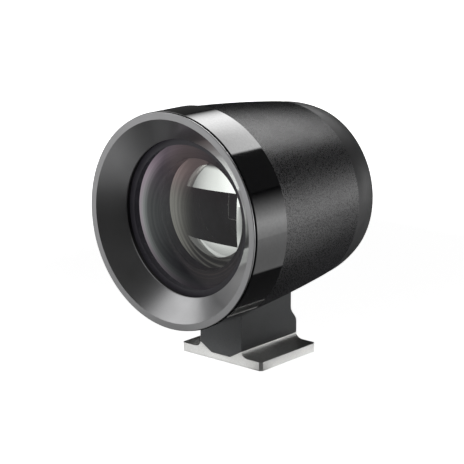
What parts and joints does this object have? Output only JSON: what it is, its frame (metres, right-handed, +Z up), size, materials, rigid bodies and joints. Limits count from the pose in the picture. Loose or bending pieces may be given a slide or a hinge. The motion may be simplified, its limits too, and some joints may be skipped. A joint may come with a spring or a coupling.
{
  "type": "accessory shoe optical viewfinder",
  "caption": "External optical viewfinder: hooded front lens, part-silvered mirror lens and eye lens in a tapered barrel on a stem with an accessory-shoe foot.",
  "frame": {"origin": "centre of the foot's flat underside", "axes": "+Z up from the foot to the barrel; the optical axis runs along Y at z = 27.5 mm, the front lens faces -Y and the eyepiece +Y"},
  "size_m": [0.0374, 0.0372, 0.0462],
  "materials": {
    "satin_grey": "satin black anodised, turned",
    "gloss_black": "polished black",
    "crinkle_black": "fine crinkle paint",
    "satin_black": "smooth satin paint",
    "rubber_black": "matte rubber",
    "optical_black": "flat optical black",
    "coated_glass": "polished, purple anti-reflection coating",
    "mirror_glass": "polished, part-silvered front face with a clear window",
    "shim_brass": "rolled shim",
    "frame_black": "blackened, with white frame lines",
    "stem_black": "satin black anodised",
    "foot_steel": "fine bead-blasted stainless",
    "screw_steel": "turned stainless"
  },
  "bodies": {
    "root": {"front_bezel": "satin_grey", "gloss_band": "gloss_black", "barrel_shell": "crinkle_black", "rear_ring": "satin_black", "eyecup_ring": "rubber_black", "front_retaining_ring": "optical_black", "front_lens": "coated_glass", "front_lens_seal": "rubber_black", "mirror_lens_ring": "optical_black", "mirror_lens": "mirror_glass", "focus_shim": "shim_brass", "optics_tube": "optical_black", "glare_stop": "optical_black", "frame_spacer": "optical_black", "frame_plate": "frame_black", "eyepiece_cell": "optical_black", "eyepiece_lens": "coated_glass", "eyepiece_retaining_ring": "optical_black", "stem": "stem_black", "saddle_screws": "screw_steel", "foot_plate": "foot_steel", "foot_screws": "screw_steel"}
  },
  "joints": []
}
